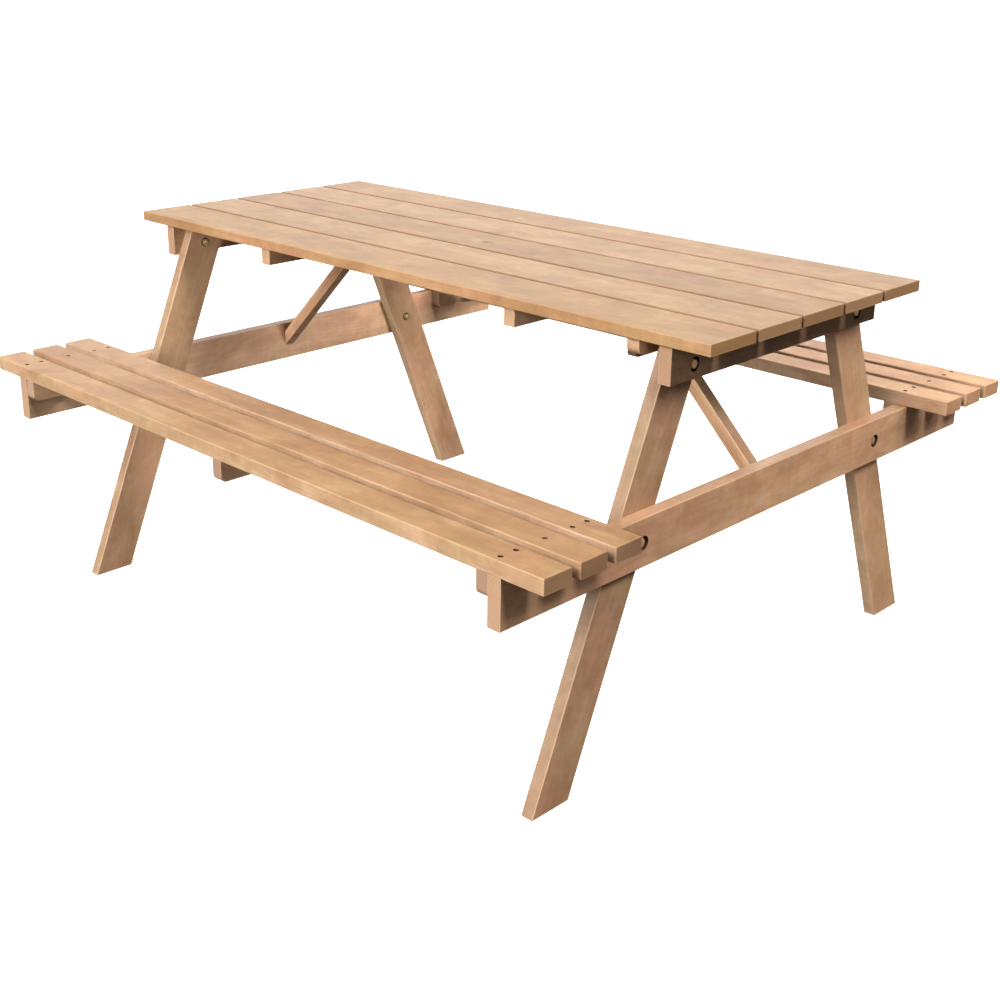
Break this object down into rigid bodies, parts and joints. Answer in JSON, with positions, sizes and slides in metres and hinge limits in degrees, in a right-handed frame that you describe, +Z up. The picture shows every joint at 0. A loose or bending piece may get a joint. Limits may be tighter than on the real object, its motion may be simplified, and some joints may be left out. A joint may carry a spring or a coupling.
{
  "type": "picnic table",
  "caption": "Timber A-frame picnic table: planked top on leaning end frames, with a slatted bench fixed along each long side and diagonal braces underneath.",
  "frame": {"origin": "on the ground, under the middle of the table top", "axes": "+X along the length of the table top, +Y across it from the front bench to the back bench, +Z up"},
  "size_m": [1.514, 1.352, 0.747],
  "materials": {
    "top_wood": "satin",
    "bench_wood": "satin",
    "leg_wood": "satin",
    "beam_wood": "satin",
    "batten_wood": "satin",
    "cleat_wood": "satin",
    "brace_wood": "satin",
    "bolt_zinc": "satin",
    "washer_zinc": "satin",
    "screw_zinc": "satin"
  },
  "bodies": {
    "root": {"beam_left": "beam_wood", "beam_right": "beam_wood", "bench_back_slat_1": "bench_wood", "bench_back_slat_2": "bench_wood", "bench_back_slat_3": "bench_wood", "bench_front_slat_1": "bench_wood", "bench_front_slat_2": "bench_wood", "bench_front_slat_3": "bench_wood", "bench_screws": "screw_zinc", "bolt_nuts": "bolt_zinc", "bolt_washers": "washer_zinc", "brace_foot_screws": "screw_zinc", "brace_head_screws": "screw_zinc", "brace_left": "brace_wood", "brace_right": "brace_wood", "cleat_back_centre": "cleat_wood", "cleat_back_left": "cleat_wood", "cleat_back_right": "cleat_wood", "cleat_front_centre": "cleat_wood", "cleat_front_left": "cleat_wood", "cleat_front_right": "cleat_wood", "cleat_screws": "screw_zinc", "end_batten_left": "batten_wood", "end_batten_right": "batten_wood", "end_batten_screws": "screw_zinc", "extra_batten_right": "batten_wood", "extra_batten_screws": "screw_zinc", "frame_bolts": "bolt_zinc", "inner_batten_left": "batten_wood", "inner_batten_right": "batten_wood", "inner_batten_screws": "screw_zinc", "leg_left_back": "leg_wood", "leg_left_front": "leg_wood", "leg_right_back": "leg_wood", "leg_right_front": "leg_wood", "top_plank_1": "top_wood", "top_plank_2": "top_wood", "top_plank_3": "top_wood", "top_plank_4": "top_wood", "top_plank_5": "top_wood"}
  },
  "joints": []
}
